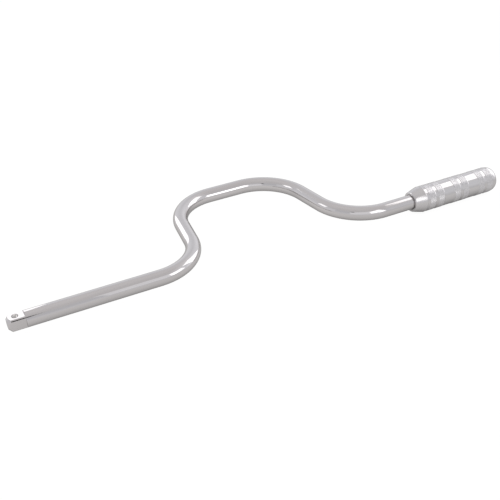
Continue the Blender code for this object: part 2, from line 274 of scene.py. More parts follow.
@dataclass(frozen=True)
class MetalFinish:
    """A bare or plated metal, with its polish, its fine lines and painted shade darkening its
    hollows.
    """

    name: str
    colour: Colour
    roughness: float
    grain: Grain = Grain.NONE
    grain_depth: float = 0.4e-6
    ripple_depth: float = 1.5e-6
    smudge: float = 0.03
    mottle: float = 0.03
    hollow: tuple[float, float] | None = None
    # Painted shade in the hollows: how much it darkens their tone
    hollow_painted_shade: float = 0.0
    hollow_rough: float = 0.0
    edge_tint: float = 0.72
    satin_run: tuple[float, float] | None = None
    satin: float = 0.0

    # Noises: cells in a metre, octaves
    CLOUD = (70.0, 3.0)
    SPECK = (900.0, 4.0)
    RIPPLE = (110.0, 1.0)
    # Noise that a line is drawn from, and cells in a metre on each axis of its place
    LINE = (1.0, 3.0)
    BAR_STRETCH = (60.0, 5200.0, 1.0)
    RING_STRETCH = (4500.0, 90.0, 90.0)
    FACE_STRETCH = (4000.0, 1.0, 1.0)
    # Noise values that leave tone and roughness as they are, and the specks' share beside clouds
    MIDDLE = 0.5
    SMUDGE_MIDDLE = 0.45
    SPECK_SHARE = 0.5
    # How far the satin's two ends fade
    SATIN_FADES = (0.2 * MM, 0.4 * MM)

    def _lines(self, recipe: Recipe, place: Any) -> Sum | None:
        """The fine lines that polishing or turning left, as a height from 0 to 1.

        Args:
            recipe: the material's nodes.
            place: its Object coordinates.

        Returns:
            The height, or None for a finish without lines.
        """
        if self.grain is Grain.NONE:
            return None
        if self.grain is Grain.ALONG_BAR:
            place = recipe.node("UVMap", {"uv_map": CrankBar.RUN_MAP}).outputs[0]
            stretch = self.BAR_STRETCH
        elif self.grain is Grain.ROUND_AXIS:
            stretch = self.RING_STRETCH
        else:
            radius = recipe.off_axis(place)
            place = recipe.node("CombineXYZ", {}, {"X": radius}).outputs[0]
            stretch = self.FACE_STRETCH
        inputs = {"Vector": place, "Scale": stretch}
        mapped = recipe.node("Mapping", {"vector_type": "POINT"}, inputs)
        return recipe.noise(mapped.outputs[0], *self.LINE)

    def _hollows(self, recipe: Recipe, place: Any) -> Sum | None:
        """1 at the bottom of the hollows round the turning axis and 0 on their tops.

        Args:
            recipe: the material's nodes.
            place: its Object coordinates.

        Returns:
            How deep in a hollow a place is, or None for a finish without hollows.
        """
        if self.hollow is None:
            return None
        return recipe.fade(recipe.off_axis(place), *self.hollow)

    def _satin(self, recipe: Recipe, place: Any) -> Sum:
        """1 along the satin run and 0 outside it.

        Args:
            recipe: the material's nodes.
            place: its Object coordinates.

        Returns:
            The share of satin at a place.
        """
        along = recipe.axes(place)[0]
        first, last = self.satin_run
        fade_in, fade_out = self.SATIN_FADES
        inside = recipe.smooth(along, first - fade_in, first)
        return inside * recipe.fade(along, last - fade_out, last)

    def material(self) -> bpy.types.Material:
        """Builds the finish.

        Returns:
            The material, read from Object coordinates and, for lines along the bar, its UV map.
        """
        made = bpy.data.materials.new(self.name)
        recipe = Recipe(made)
        place = recipe.node("TexCoord").outputs["Object"]
        cloud = recipe.noise(place, *self.CLOUD)
        speck = recipe.noise(place, *self.SPECK)
        lines = self._lines(recipe, place)
        hollows = self._hollows(recipe, place)

        tone = 1 + (cloud - self.MIDDLE) * self.mottle
        tone = tone + (speck - self.MIDDLE) * self.mottle * self.SPECK_SHARE
        rough = self.roughness + (cloud - self.SMUDGE_MIDDLE) * self.smudge
        rough = rough + (speck - self.MIDDLE) * self.smudge
        if hollows:
            # Painted shade: the tone is darkened towards the bottom of the hollows
            tone = tone * (1 - hollows * self.hollow_painted_shade)
            rough = rough + hollows * self.hollow_rough
        if self.satin_run:
            rough = rough + self._satin(recipe, place) * self.satin
        colour = recipe.shaded(self.colour, tone)

        ripple = recipe.noise(place, *self.RIPPLE) * self.ripple_depth
        height = ripple + speck * (self.grain_depth * self.SPECK_SHARE)
        if lines:
            height = height + lines * self.grain_depth
        bump = recipe.node("Bump", {}, {"Height": height, "Distance": 1.0, "Strength": 1.0})
        inputs = {
            "Base Color": colour,
            "Roughness": rough,
            "Metallic": 1.0,
            "Normal": bump.outputs[0],
            "Specular Tint": (self.edge_tint, self.edge_tint, self.edge_tint, 1),
        }
        shader = recipe.node("BsdfPrincipled", {}, inputs)
        recipe.node("OutputMaterial", {}, {"Surface": shader.outputs[0]})
        return made


@dataclass(frozen=True)
class NylonFinish:
    """Natural nylon, milky and slightly worn where it rubs."""

    name: str
    colour: Colour
    roughness: float

    # Noises: cells in a metre, octaves
    CLOUD = (400.0, 3.0)
    PORES = (3000.0, 2.0)
    PORE_DEPTH = 3e-6
    # Darkest shade, and how much lighter and rougher the clouds make it
    DARKEST = 0.92
    CLOUD_LIGHTER = 0.12
    CLOUD_ROUGHER = 0.1
    MILKY = 0.15

    def material(self) -> bpy.types.Material:
        """Builds the finish.

        Returns:
            The material, read from Object coordinates.
        """
        made = bpy.data.materials.new(self.name)
        recipe = Recipe(made)
        place = recipe.node("TexCoord").outputs["Object"]
        cloud = recipe.noise(place, *self.CLOUD)
        colour = recipe.shaded(self.colour, self.DARKEST + cloud * self.CLOUD_LIGHTER)
        height = recipe.noise(place, *self.PORES) * self.PORE_DEPTH
        bump = recipe.node("Bump", {}, {"Height": height, "Distance": 1.0})
        inputs = {
            "Base Color": colour,
            "Roughness": self.roughness + cloud * self.CLOUD_ROUGHER,
            "Subsurface Weight": self.MILKY,
            "Normal": bump.outputs[0],
        }
        shader = recipe.node("BsdfPrincipled", {}, inputs)
        recipe.node("OutputMaterial", {}, {"Surface": shader.outputs[0]})
        return made


BAR_CHROME = MetalFinish("bar_chrome", (0.644, 0.621, 0.621), 0.085, grain=Grain.ALONG_BAR)
BALL_STEEL = MetalFinish("ball_steel", (0.588, 0.569, 0.55), 0.06, ripple_depth=0.0)
SPRING_STEEL = MetalFinish("spring_steel", (0.35, 0.35, 0.36), 0.28, mottle=0.12)
GRIP_CHROME = MetalFinish(
    "grip_chrome",
    (0.656, 0.637, 0.64),
    0.09,
    grain=Grain.ROUND_AXIS,
    satin_run=(331.6 * MM, 340.6 * MM),
    satin=0.13,
)
KNURL_CHROME = MetalFinish(
    "knurl_chrome",
    (0.735, 0.719, 0.728),
    0.24,
    smudge=0.05,
    hollow=(10.7 * MM, 10.785 * MM),
    # painted shade darkens the knurl's hollows
    hollow_painted_shade=0.12,
    hollow_rough=-0.12,
)
CAP_CHROME = MetalFinish(
    "cap_chrome", (0.65, 0.638, 0.644), 0.12, grain=Grain.LATHE_FACE, grain_depth=1.2e-6
)
FRONT_BRONZE = MetalFinish("front_bronze", (0.55, 0.38, 0.2), 0.38, grain_depth=4e-6, mottle=0.25)
REAR_BRONZE = MetalFinish("rear_bronze", (0.53, 0.365, 0.19), 0.4, grain_depth=4e-6, mottle=0.25)
WASHER_STEEL = MetalFinish(
    "washer_steel", (0.5, 0.5, 0.5), 0.3, grain=Grain.LATHE_FACE, grain_depth=2e-6
)
RING_STEEL = MetalFinish("ring_steel", (0.1, 0.1, 0.11), 0.42, smudge=0.1, mottle=0.3)
PAD_NYLON = NylonFinish("pad_plastic", (0.8, 0.78, 0.72), 0.42)


# Making pieces


def fresh_scene() -> None:
    """Removes what Blender starts with."""
    for obj in list(bpy.data.objects):
        bpy.data.objects.remove(obj, do_unlink=True)


def outward(shape: bmesh.types.BMesh) -> None:
    """Merges doubles and turns the faces outwards."""
    bmesh.ops.remove_doubles(shape, verts=shape.verts, dist=MERGE_DISTANCE)
    bmesh.ops.recalc_face_normals(shape, faces=shape.faces)


def of_kind(made: list, kind: type) -> list:
    """The elements of one kind among those that an operator made."""
    return [item for item in made if isinstance(item, kind)]


def whole(shape: bmesh.types.BMesh) -> list:
    """Every vertex, edge and face of a shape."""
    return shape.verts[:] + shape.edges[:] + shape.faces[:]


def in_scene(name: str, shape: bmesh.types.BMesh) -> bpy.types.Object:
    """Puts an object of a finished shape in the scene and frees the shape.

    Args:
        name: the name of the object and of its mesh.
        shape: its mesh, which is freed here.

    Returns:
        The new object.
    """
    mesh = bpy.data.meshes.new(name)
    shape.to_mesh(mesh)
    shape.free()
    obj = bpy.data.objects.new(name, mesh)
    bpy.context.scene.collection.objects.link(obj)
    return obj


def smoothed(mesh: bpy.types.Mesh, sharp: float) -> None:
    """Shades a mesh smooth but for the edges that turn more than sharp degrees."""
    mesh.shade_smooth()
    mesh.set_sharp_from_angle(angle=math.radians(sharp))


def place_piece(
    name: str,
    shape: bmesh.types.BMesh,
    finish: MetalFinish | NylonFinish,
    body: Body,
    replaced: str | None = None,
    sharp: float = 30.0,
) -> bpy.types.Object:
    """Makes an object of a finished shape and fastens it to its body.

    Args:
        name: the piece's name.
        shape: its mesh, in the frame's own place; it is freed here.
        finish: what it is made of.
        body: the body that it rides on.
        replaced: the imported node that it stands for, if it does.
        sharp: edges that turn more than this many degrees stay sharp.

    Returns:
        The new object.
    """
    obj = in_scene(name, shape)
    obj.data.materials.append(finish.material())
    smoothed(obj.data, sharp)
    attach(obj, body.value)
    if replaced:
        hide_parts(replaced)
    faces = len(obj.data.polygons)
    LOG.info("%s: %d faces, rides on %s, finish %s", name, faces, body.value, finish.name)
    return obj


def spun(profile: Profile, closed: bool, steps: int) -> bmesh.types.BMesh:
    """Turns a profile round the X axis.

    Args:
        profile: (x, radius) points in order.
        closed: whether the last point joins the first, as on a sleeve.
        steps: facets round the axis.

    Returns:
        The turned shape, faces outwards.
    """
    shape = bmesh.new()
    points = [shape.verts.new((x, 0, radius)) for x, radius in profile]
    for first, second in zip(points, points[1:]):
        shape.edges.new((first, second))
    if closed:
        shape.edges.new((points[-1], points[0]))
    bmesh.ops.spin(
        shape,
        geom=shape.verts[:] + shape.edges[:],
        cent=(0, 0, 0),
        axis=(1, 0, 0),
        angle=FULL_TURN,
        steps=steps,
        use_merge=True,
    )
    outward(shape)
    return shape


def bevel(shape: bmesh.types.BMesh, edges: list, width: float, steps: int, clamp: bool) -> None:
    """Bevels edges of a shape to a round.

    Args:
        shape: what is bevelled.
        edges: its edges to bevel.
        width: the bevel's offset.
        steps: facets across it.
        clamp: whether bevels stop where they would overlap.
    """
    bmesh.ops.bevel(
        shape,
        geom=edges,
        offset=width,
        segments=steps,
        profile=0.5,
        affect="EDGES",
        material=-1,
        clamp_overlap=clamp,
    )


def rounded(centre: Point, radius: float, steps: int) -> Profile:
    """Points on a quarter arc from its centre's +Y side to its +X side, both ends included."""
    turns = [math.radians(90 - 90 * i / steps) for i in range(steps + 1)]
    return [(centre[0] + radius * math.cos(t), centre[1] + radius * math.sin(t)) for t in turns]


def bowed(start: Point, end: Point, rise: float, steps: int) -> Profile:
    """Points on a shallow curve between two profile points.

    Args:
        start: the first (x, radius) point.
        end: the last one.
        rise: how far the curve stands off the straight in its middle.
        steps: the spaces between its points.

    Returns:
        The points, both ends included.
    """
    points = []
    for t in (i / steps for i in range(steps + 1)):
        straight = start[1] + (end[1] - start[1]) * t
        points.append((start[0] + (end[0] - start[0]) * t, straight + 4 * rise * t * (1 - t)))
    return points


# Sub-assemblies


@dataclass
class CrankBar:
    """The one bent bar, with its milled drive square, ball hole, ring groove and chamfers."""

    RUN_MAP = "run"

    shank: float = 108.9 * MM
    bend_radius: float = 40.5 * MM
    bend_angle: float = math.radians(81.8)
    leg: float = 24.5 * MM
    throw: float = 29.0 * MM
    square: float = 9.5 * MM
    square_length: float = 12.0 * MM
    step_fillet: float = 0.5 * MM
    end_chamfer: float = 1.0 * MM
    ball_from_end: float = 5.8 * MM
    hole_radius: float = 2.3 * MM
    hole_floor: float = -2.4 * MM
    lip_radius: float = 1.98 * MM
    lip_flare: float = 0.13 * MM
    lip_thickness: float = 0.35 * MM
    lip_slope: float = 0.2 * MM
    stake_depth: float = 0.2 * MM
    stake_width: float = 0.5 * MM
    groove_bite: float = 0.5 * MM
    groove_width: float = 1.2 * MM
    groove_from_end: float = 4.2 * MM
    end_bevel: float = 0.6 * MM
    end_overlap: float = 0.01 * MM
    edge_break: float = 0.1 * MM
    sides: int = 96
    bend_steps: int = 44
    fillet_steps: int = 12
    break_steps: int = 2
    hole_sides: int = 64

    # Degrees that an edge turns: keen edges are broken, sharp ones aren't shaded smooth
    KEEN = 25.0
    SHARP = 10.0
    # Edges this close to the ball's middle stay as they were cut
    BALL_ROOM = 3.0 * MM
    SLACK = 1e-6

    def __post_init__(self) -> None:
        """Takes the bar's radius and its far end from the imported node."""
        low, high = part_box("crank_bar")
        self.radius = -low.z
        self.end_x = high.x

    def _swept(self) -> bmesh.types.BMesh:
        """Sweeps a circle along the shank, bends, legs, throw and neck.

        Returns:
            The round bar, closed at both ends, with its run map.
        """
        shape = bmesh.new()
        bmesh.ops.create_circle(
            shape,
            cap_ends=False,
            segments=self.sides,
            radius=self.radius,
            matrix=Matrix.Rotation(math.pi / 2, 4, "Y"),
        )
        along = shape.verts.layers.float.new("along")
        around = shape.verts.layers.float.new("around")
        for vert in shape.verts:
            vert[around] = math.atan2(vert.co.z, vert.co.y) % FULL_TURN
        rim = shape.edges[:]
        heading, middle, run = 0.0, Vector((0, 0, 0)), 0.0

        def carry(edges: list, move: Matrix, further: float) -> list:
            """Extrudes the open rim by one move and notes how far along the bar it has come.

            Args:
                edges: the rim.
                move: where its copy goes.
                further: that way in metres.

            Returns:
                The new rim.
            """
            made = bmesh.ops.extrude_edge_only(shape, edges=edges)["geom"]
            verts = of_kind(made, bmesh.types.BMVert)
            bmesh.ops.transform(shape, matrix=move, verts=verts)
            for vert in verts:
                vert[along] = run + further
            return of_kind(made, bmesh.types.BMEdge)

        # The shank is swept in two, so that the cuts of the square split only its first part
        milled = self.square_length * 2
        turns = (self.bend_angle, -self.bend_angle, -self.bend_angle, self.bend_angle)
        runs = ((milled, self.shank - milled), (self.leg,), (self.throw,), (self.leg,))
        for turn, straights in zip(turns, runs):
            ahead = Vector((math.cos(heading), math.sin(heading), 0))
            for straight in straights:
                rim = carry(rim, Matrix.Translation(ahead * straight), straight)
                middle, run = middle + ahead * straight, run + straight
            side = math.copysign(1, turn)
            centre = middle + side * self.bend_radius * Vector((-ahead.y, ahead.x, 0))
            step = Matrix.Rotation(turn / self.bend_steps, 4, "Z")
            move = Matrix.Translation(centre) @ step @ Matrix.Translation(-centre)
            arc = self.bend_radius * self.bend_angle / self.bend_steps
            for _ in range(self.bend_steps):
                rim = carry(rim, move, arc)
                middle, run = move @ middle, run + arc
            heading += turn
        neck = self.end_x - middle.x
        carry(rim, Matrix.Translation((neck, 0, 0)), neck)
        bmesh.ops.holes_fill(shape, edges=shape.edges, sides=0)
        bmesh.ops.recalc_face_normals(shape, faces=shape.faces)
        self._map_run(shape, along, around)
        return shape

    def _map_run(self, shape: bmesh.types.BMesh, along: Any, around: Any) -> None:
        """Writes the bar's UV map: u is the way along its run, v the way round it, in metres.

        Args:
            shape: the swept bar.
            along: its vertices' layer of the way along the bar.
            around: their layer of the turn round it.
        """
        layer = shape.loops.layers.uv.new(self.RUN_MAP)
        for face in shape.faces:
            turns = [loop.vert[around] for loop in face.loops]
            side_face = len(turns) == 4
            over_seam = side_face and max(turns) - min(turns) > math.pi
            for loop, turn in zip(face.loops, turns):
                turn = turn + FULL_TURN if over_seam and turn < math.pi else turn
                loop[layer].uv = (loop.vert[along], turn * self.radius)

    def _flat_cutter(self, index: int) -> bmesh.types.BMesh:
        """The cutter of one flat, with a rounded edge where the flat meets the bar.

        Args:
            index: which flat, from 0 to 3.

        Returns:
            The cutter.
        """
        block = bmesh.new()
        depth, reach = self.radius, self.square_length + self.radius
        bmesh.ops.create_cube(block, size=1)
        size = Matrix.Diagonal((reach, 4 * self.radius, depth, 1))
        place = Matrix.Translation((self.square_length - reach / 2, 0, (self.square + depth) / 2))
        bmesh.ops.transform(block, matrix=place @ size, verts=block.verts)
        least_x, most_z = self.square_length - MM, self.square / 2 + MM
        foot = [
            edge
            for edge in block.edges
            if all(vert.co.x > least_x and vert.co.z < most_z for vert in edge.verts)
        ]
        bevel(block, foot, self.step_fillet, self.fillet_steps, False)
        turn = Matrix.Rotation(index * math.pi / 2, 4, "X")
        bmesh.ops.transform(block, matrix=turn, verts=block.verts)
        return block

    def _chamfer_cutter(self) -> bmesh.types.BMesh:
        """The cutter of the cone on the square's end, which cuts furthest back at its corners.

        Returns:
            The cutter.
        """
        inner, clear = self.square / 2 - self.end_chamfer, 2 * self.radius
        profile = [(-clear, inner), (0, inner), (clear - inner, clear), (-clear, clear)]
        return spun(profile, True, self.sides)

    def _ball_hole_cutter(self) -> bmesh.types.BMesh:
        """The cutter of the ball's hole: blind, drawn in to a staked lip under a stake ring.

        Returns:
            The cutter.
        """
        top = self.square / 2
        lip = top - self.stake_depth
        under_lip = lip - self.lip_thickness
        ring = self.lip_radius + self.stake_width
        profile = [
            (self.hole_floor, 0),
            (self.hole_floor, self.hole_radius),
            (under_lip - self.lip_slope, self.hole_radius),
            (under_lip, self.lip_radius + self.lip_flare),
            (lip, self.lip_radius),
            (top, ring),
            (top + self.radius, ring),
            (top + self.radius, 0),
        ]
        cutter = spun(profile, False, self.hole_sides)
        upright = Matrix.Rotation(-math.pi / 2, 4, "Y")
        place = Matrix.Translation((self.ball_from_end, 0, 0)) @ upright
        bmesh.ops.transform(cutter, matrix=place, verts=cutter.verts)
        return cutter

    def _ring_groove_cutter(self) -> bmesh.types.BMesh:
        """The cutter of the retaining ring's groove.

        Returns:
            The cutter.
        """
        start = self.end_x - self.groove_from_end
        end = start + self.groove_width
        floor, outer = self.radius - self.groove_bite, 2 * self.radius
        profile = [(start, floor), (end, floor), (end, outer), (start, outer)]
        return spun(profile, True, self.sides)

    def _bar_end_cutter(self) -> bmesh.types.BMesh:
        """The cutter of the chamfer on the end of the bar inside the grip.

        Returns:
            The cutter.
        """
        inner, outer = self.radius - self.end_bevel, 2 * self.radius
        near, far = self.end_x - self.end_bevel, self.end_x + self.end_bevel
        profile = [
            (near, self.radius + self.end_overlap),
            (self.end_x, inner),
            (far, inner),
            (far, outer),
            (near, outer),
        ]
        return spun(profile, True, self.sides)

    def _milled(self, bar: bpy.types.Object) -> None:
        """Takes every cutter out of the bar's mesh and applies the cuts.

        Args:
            bar: the bar, whose mesh is replaced.
        """
        cutters = [self._flat_cutter(i) for i in range(4)] + [self._chamfer_cutter()]
        cutters += [self._ball_hole_cutter(), self._ring_groove_cutter(), self._bar_end_cutter()]
        tools = [in_scene(f"cutter_{number}", cutter) for number, cutter in enumerate(cutters)]
        for tool in tools:
            cut = bar.modifiers.new(tool.name, "BOOLEAN")
            cut.operation, cut.solver, cut.object = "DIFFERENCE", "EXACT", tool
        bpy.context.view_layer.update()
        seen = bar.evaluated_get(bpy.context.evaluated_depsgraph_get())
        milled = bpy.data.meshes.new_from_object(seen)
        bar.modifiers.clear()
        old, bar.data = bar.data, milled
        bpy.data.meshes.remove(old)
        for tool in tools:
            bpy.data.objects.remove(tool, do_unlink=True)

    def _edges_broken(self, mesh: bpy.types.Mesh) -> None:
        """Breaks the square's sharp edges a little, as a deburring wheel does.

        Args:
            mesh: the milled bar's mesh.
        """
        last_x = self.square_length - self.step_fillet
        least_out = self.square / 2 - self.end_chamfer - self.SLACK
        ball = Vector((self.ball_from_end, 0))

        def on_square(vert: bmesh.types.BMVert) -> bool:
            """Whether a vertex is on the square's outside and clear of the ball's hole."""
            out = max(abs(vert.co.y), abs(vert.co.z)) > least_out
            return vert.co.x < last_x and out and (vert.co.xy - ball).length > self.BALL_ROOM

        shape = bmesh.new()
        shape.from_mesh(mesh)
        keen = [
            edge
            for edge in shape.edges
            if edge.is_manifold
            and edge.calc_face_angle(0) > math.radians(self.KEEN)
            and all(on_square(vert) for vert in edge.verts)
        ]
        bevel(shape, keen, self.edge_break, self.break_steps, True)
        shape.to_mesh(mesh)
        shape.free()

    def build(self) -> bpy.types.Object:
        """Builds the bar and fastens it.

        Returns:
            The bar.
        """
        bar = place_piece("bar", self._swept(), BAR_CHROME, Body.CRANK, "crank_bar")
        self._milled(bar)
        self._edges_broken(bar.data)
        smoothed(bar.data, self.SHARP)
        LOG.info("bar: %d faces after milling", len(bar.data.polygons))
        return bar


@dataclass
class BallCatch:
    """The spring ball in the drive square and the coil spring under it."""

    wire: float = 0.5 * MM
    wire_sides: int = 12
    coils: int = 4
    coil_points: int = 24
    ball_sides: int = 64

    def _ball(self) -> None:
        """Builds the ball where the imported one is."""
        low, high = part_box("detent_ball")
        shape = bmesh.new()
        bmesh.ops.create_uvsphere(
            shape,
            u_segments=self.ball_sides,
            v_segments=self.ball_sides // 2,
            radius=(high.z - low.z) / 2,
            matrix=Matrix.Translation((low + high) / 2),
        )
        place_piece("ball", shape, BALL_STEEL, Body.BALL, "detent_ball")

    def _spring(self) -> None:
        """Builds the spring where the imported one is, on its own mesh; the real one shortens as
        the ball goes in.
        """
        low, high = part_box("detent_spring")
        middle = (low + high) / 2
        radius = (high.x - low.x) / 2 - self.wire / 2
        start, rise = low.z + self.wire / 2, high.z - low.z - self.wire
        shape = bmesh.new()
        bmesh.ops.create_circle(
            shape, cap_ends=True, segments=self.wire_sides, radius=self.wire / 2
        )
        beginning = Matrix.Translation((middle.x + radius, middle.y, start))
        first = beginning @ Matrix.Rotation(math.pi / 2, 4, "X")
        bmesh.ops.transform(shape, matrix=first, verts=shape.verts)
        steps = self.coils * self.coil_points
        centre = Matrix.Translation((middle.x, middle.y, 0))
        step = Matrix.Rotation(FULL_TURN / self.coil_points, 4, "Z")
        turn = centre @ step @ centre.inverted()
        move = Matrix.Translation((0, 0, rise / steps)) @ turn
        cap = shape.faces[:]
        for _ in range(steps):
            made = bmesh.ops.extrude_face_region(shape, geom=cap)["geom"]
            bmesh.ops.delete(shape, geom=cap, context="FACES_ONLY")
            bmesh.ops.transform(shape, matrix=move, verts=of_kind(made, bmesh.types.BMVert))
            cap = of_kind(made, bmesh.types.BMFace)
        bmesh.ops.holes_fill(shape, edges=shape.edges, sides=0)
        outward(shape)
        spring = place_piece(
            "spring", shape, SPRING_STEEL, Body.CRANK, "detent_spring"
        )
        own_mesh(spring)

    def build(self) -> None:
        """Builds ball and spring."""
        self._ball()
        self._spring()


@dataclass
class Grip:
    """The turned sleeve, the diamonds knurled on its raised bands, and the cap that closes it."""

    mouth_radius: float = 8.3 * MM
    mouth_chamfer: float = 0.6 * MM
    mouth_crown: float = 0.03 * MM
    lip_radius: float = 6.3 * MM
    lip_break: float = 0.12 * MM
    lip_length: float = 1.2 * MM
    lip_slope: float = 0.2 * MM
    bore_radius: float = 6.8 * MM
    nose_length: float = 9.8 * MM
    nose_crown: float = 0.1 * MM
    nose_edge: float = 0.05 * MM
    nose_land: float = 2.7 * MM
    land_crown: float = 0.02 * MM
    pairs: int = 3
    band: float = 6.7 * MM
    rise: float = 0.18 * MM
    near_chamfer: float = 0.25 * MM
    far_chamfer: float = 0.5 * MM
    groove: float = 2.1 * MM
    smooth_band: float = 10.5 * MM
    rim_length: float = 5.0 * MM
    rim_wall: float = 0.55 * MM
    rim_power: float = 1.75
    counterbore_radius: float = 7.9 * MM
    counterbore_depth: float = 14.2 * MM
    ledge: float = 0.1 * MM
    diamonds_round: int = 54
    diamond_depth: float = 0.11 * MM
    diamond_sunk: float = 0.03 * MM
    diamond_top: float = 0.6
    cap_gap: float = 0.1 * MM
    cap_pocket: float = 1.0 * MM
    cap_dish: float = 0.25 * MM
    cap_break: float = 0.25 * MM
    cap_round: float = 0.6 * MM
    cap_land: float = 1.4 * MM
    cap_slope_end: float = 1.9 * MM
    steps: int = 168
    cap_steps: int = 128
    nose_steps: int = 14
    rim_steps: int = 16
    round_steps: int = 6

    # Steps of a short crowned face, and the length of the slope behind the nose over its drop
    SHORT_STEPS = 3
    LAND_SLOPE = 3
    # Degrees that an edge of sleeve or knurl turns and stays sharp
    SHARP = 12.0

    def __post_init__(self) -> None:
        """Takes the sleeve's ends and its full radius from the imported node."""
        low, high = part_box("grip_sleeve")
        self.start, self.end, self.radius = low.x, high.x, high.z
        self.smooth_radius = self.radius - self.rise
        self.floor_radius = self.radius - self.diamond_depth

    def _band_starts(self) -> list[float]:
        """Where each knurled band begins, from the mouth end.

        Returns:
            The x of each band's near edge.
        """
        first = self.start + self.nose_length + self.nose_land
        pitch = 2 * self.band + self.groove + self.smooth_band
        starts = []
        for pair in range(self.pairs):
            near = first + pair * pitch
            starts += [near, near + self.band + self.groove]
        return starts

    def _outside(self) -> Profile:
        """The sleeve's outline, with the bands turned down to the bottom of the knurl.

        Returns:
            Its (x, radius) points from the mouth to the rim.
        """
        full, smooth, floor = self.radius, self.smooth_radius, self.floor_radius
        nose_end = self.start + self.nose_length
        cut = self.mouth_chamfer
        mouth = (self.start, self.mouth_radius - cut)
        shoulder = (self.start + cut, self.mouth_radius)
        outline = bowed(mouth, shoulder, self.mouth_crown, self.SHORT_STEPS)
        outline += bowed(shoulder, (nose_end, full), self.nose_crown, self.nose_steps)[1:]
        crest = (nose_end + self.nose_edge, full)
        foot = (nose_end + self.LAND_SLOPE * self.rise, smooth)
        outline += bowed(crest, foot, self.land_crown, self.SHORT_STEPS)
        for near in self._band_starts():
            first, last = near + self.near_chamfer, near + self.band - self.far_chamfer
            outline += [(near, smooth), (first, full), (first + self.ledge, floor)]
            outline += [(last - self.ledge, floor), (last, full), (near + self.band, smooth)]
        drop = smooth - self.counterbore_radius - self.rim_wall
        for i in range(self.rim_steps + 1):
            share = math.sin(math.pi / 2 * i / self.rim_steps)
            fall = 1 - (1 - share**self.rim_power) ** (1 / self.rim_power)
            outline.append((self.end - self.rim_length * (1 - share), smooth - drop * fall))
        return outline

    def _sleeve(self) -> None:
        """Builds the sleeve with its stepped bore."""
        step = self.end - self.counterbore_depth
        lip_end = self.start + self.lip_length
        inside = [
            (self.end, self.counterbore_radius),
            (step, self.counterbore_radius),
            (step, self.bore_radius),
            (lip_end, self.bore_radius),
            (lip_end - self.lip_slope, self.lip_radius),
            (self.start + self.lip_break, self.lip_radius),
            (self.start, self.lip_radius + self.lip_break),
        ]
        shape = spun(self._outside() + inside, True, self.steps)
        place_piece(
            "sleeve", shape, GRIP_CHROME, Body.GRIP, "grip_sleeve", self.SHARP
        )

    def _diamond(self, shape: bmesh.types.BMesh, x: float, turn: float) -> None:
        """Adds one diamond of the knurl at x, turned round the axis.

        Args:
            shape: the band that it belongs to.
            x: the middle of the diamond.
            turn: its angle round the axis.
        """
        pitch = FULL_TURN * self.radius / self.diamonds_round
        side = pitch / 2
        slope = side * (1 - self.diamond_top) / self.diamond_depth
        height = self.diamond_depth + self.diamond_sunk
        upright = Matrix.Translation((x, 0, self.radius - height / 2))
        bmesh.ops.create_cone(
            shape,
            cap_ends=True,
            segments=4,
            radius1=side + slope * self.diamond_sunk,
            radius2=side * self.diamond_top,
            depth=height,
            matrix=Matrix.Rotation(turn, 4, "X") @ upright,
        )

    def _knurl(self) -> None:
        """Builds every band's rows of diamonds, cut off flush at the band's two shoulders."""
        pitch = FULL_TURN / self.diamonds_round
        row = math.pi * self.radius / self.diamonds_round
        knurl = bmesh.new()
        for start in self._band_starts():
            near = start + self.near_chamfer + self.ledge
            far = start + self.band - self.far_chamfer - self.ledge
            band = bmesh.new()
            rows = math.ceil((far - near) / row) + 1
            for i in range(rows):
                self._diamond(band, near + i * row, (i % 2) * pitch / 2)
            bmesh.ops.spin(
                band,
                geom=whole(band),
                cent=(0, 0, 0),
                axis=(1, 0, 0),
                angle=FULL_TURN * (1 - 1 / self.diamonds_round),
                steps=self.diamonds_round - 1,
                use_duplicate=True,
            )
            for place, side in ((near, -1), (far, 1)):
                bmesh.ops.bisect_plane(
                    band,
                    geom=whole(band),
                    plane_co=(place, 0, 0),
                    plane_no=(side, 0, 0),
                    clear_outer=True,
                )
            bmesh.ops.holes_fill(band, edges=band.edges, sides=0)
            outward(band)
            mesh = bpy.data.meshes.new("band")
            band.to_mesh(mesh)
            band.free()
            knurl.from_mesh(mesh)
            bpy.data.meshes.remove(mesh)
        place_piece(
            "knurl", knurl, KNURL_CHROME, Body.GRIP, "grip_sleeve", self.SHARP
        )

    def _cap(self) -> None:
        """Builds the pressed-in cap, pocketed for the pad and slightly dished towards the palm."""
        low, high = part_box("end_cap")
        outer, pad = high.z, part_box("thrust_pad")[1].z + self.cap_gap
        pocket, dish, turn = low.x + self.cap_pocket, high.x - self.cap_dish, self.cap_round
        profile = [(pocket, 0), (pocket, pad), (low.x, pad), (low.x, outer - self.cap_break)]
        profile += [(low.x + self.cap_break, outer), (high.x - turn, outer)]
        profile += rounded((high.x - turn, outer - turn), turn, self.round_steps)[1:]
        profile += [(high.x, outer - self.cap_land), (dish, outer - self.cap_slope_end), (dish, 0)]
        shape = spun(profile, False, self.cap_steps)
        place_piece("cap", shape, CAP_CHROME, Body.GRIP, "end_cap")

    def build(self) -> None:
        """Builds sleeve, knurl and cap."""
        self._sleeve()
        self._knurl()
        self._cap()


@dataclass
class Running:
    """What carries the grip on the bar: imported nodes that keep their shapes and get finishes."""

    finishes: tuple[tuple[str, MetalFinish | NylonFinish], ...] = (
        ("front_bush", FRONT_BRONZE),
        ("rear_bush", REAR_BRONZE),
        ("thrust_washer", WASHER_STEEL),
        ("retaining_ring", RING_STEEL),
        ("thrust_pad", PAD_NYLON),
    )

    def dress(self, nodes: dict[str, bpy.types.Object]) -> None:
        """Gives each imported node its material.

        Args:
            nodes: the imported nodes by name.
        """
        for name, finish in self.finishes:
            node = nodes[name]
            node.data.materials.clear()
            node.data.materials.append(finish.material())
            LOG.info("%s: packed node, finish %s", name, finish.name)


# Studio and camera

WHITE = (1, 1, 1, 1)


def facing(aim: Vector) -> Matrix:
    """The turn of a lamp, card or camera that looks along aim."""
    return aim.to_track_quat("-Z", "Y").to_matrix()


